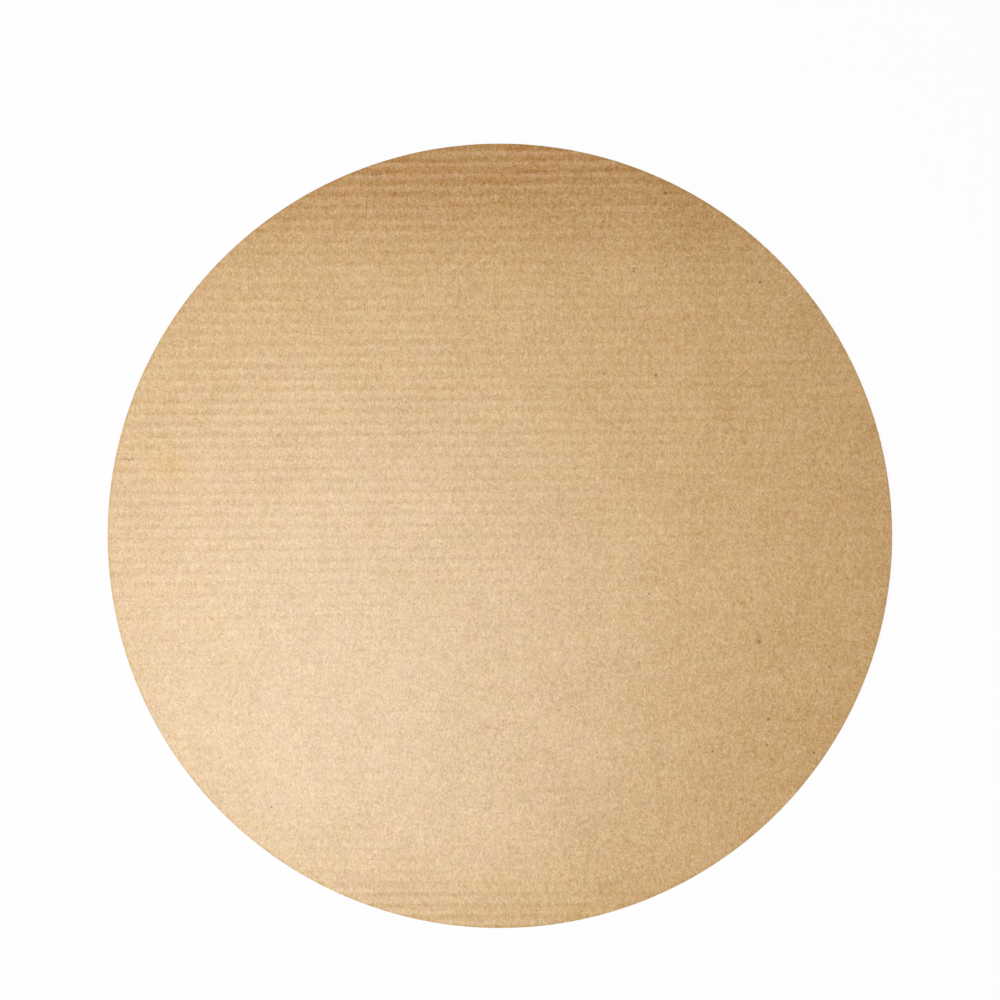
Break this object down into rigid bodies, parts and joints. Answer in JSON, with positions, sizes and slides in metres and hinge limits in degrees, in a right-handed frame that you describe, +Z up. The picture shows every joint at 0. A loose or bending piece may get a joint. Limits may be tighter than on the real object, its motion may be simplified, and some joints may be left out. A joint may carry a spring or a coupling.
{
  "type": "cake board",
  "caption": "Thin round plain kraft corrugated disc with a ribbed washboard face, used as a rigid base under a cake or a takeaway pizza.",
  "frame": {"origin": "centre of the underside, in the plane that the board rests on", "axes": "+Z up out of the top face, +X along the flutes, +Y across the flutes"},
  "size_m": [0.2286, 0.2286, 0.0016],
  "materials": {
    "kraft_board": "matte"
  },
  "bodies": {
    "root": {"board": "kraft_board"}
  },
  "joints": []
}
